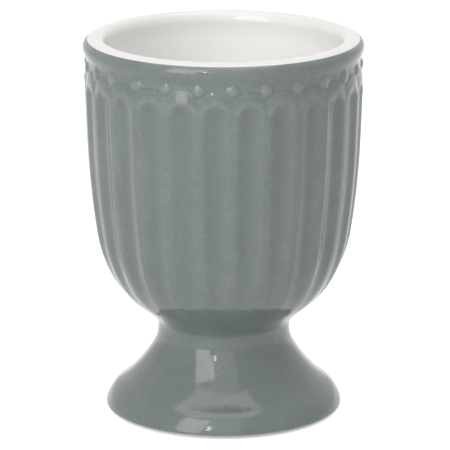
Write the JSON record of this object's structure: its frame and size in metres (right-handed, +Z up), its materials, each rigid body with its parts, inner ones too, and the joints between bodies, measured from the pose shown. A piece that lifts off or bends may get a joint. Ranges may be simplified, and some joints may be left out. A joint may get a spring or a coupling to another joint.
{
  "type": "egg cup",
  "caption": "Glazed stoneware egg cup with a fluted bowl, a beaded rim band and a flared, hollow foot.",
  "frame": {"origin": "middle of the standing ring, on the surface that the cup stands on", "axes": "+Z up along the cup's axis, -Y towards the viewer of the picture; a bead and a ridge face -Y"},
  "size_m": [0.0502, 0.0502, 0.0686],
  "materials": {
    "clay": "fired, unglazed, fine and matte",
    "slip": "fired, unglazed, matte",
    "white_glaze": "glossy opaque white glaze",
    "grey_glaze": "glossy opaque grey glaze, a little green"
  },
  "bodies": {
    "root": {"bowl_body": "clay", "foot_body": "clay", "luting_slip": "slip", "lining_glaze": "white_glaze", "outer_glaze": "grey_glaze", "hollow_glaze": "grey_glaze"}
  },
  "joints": []
}
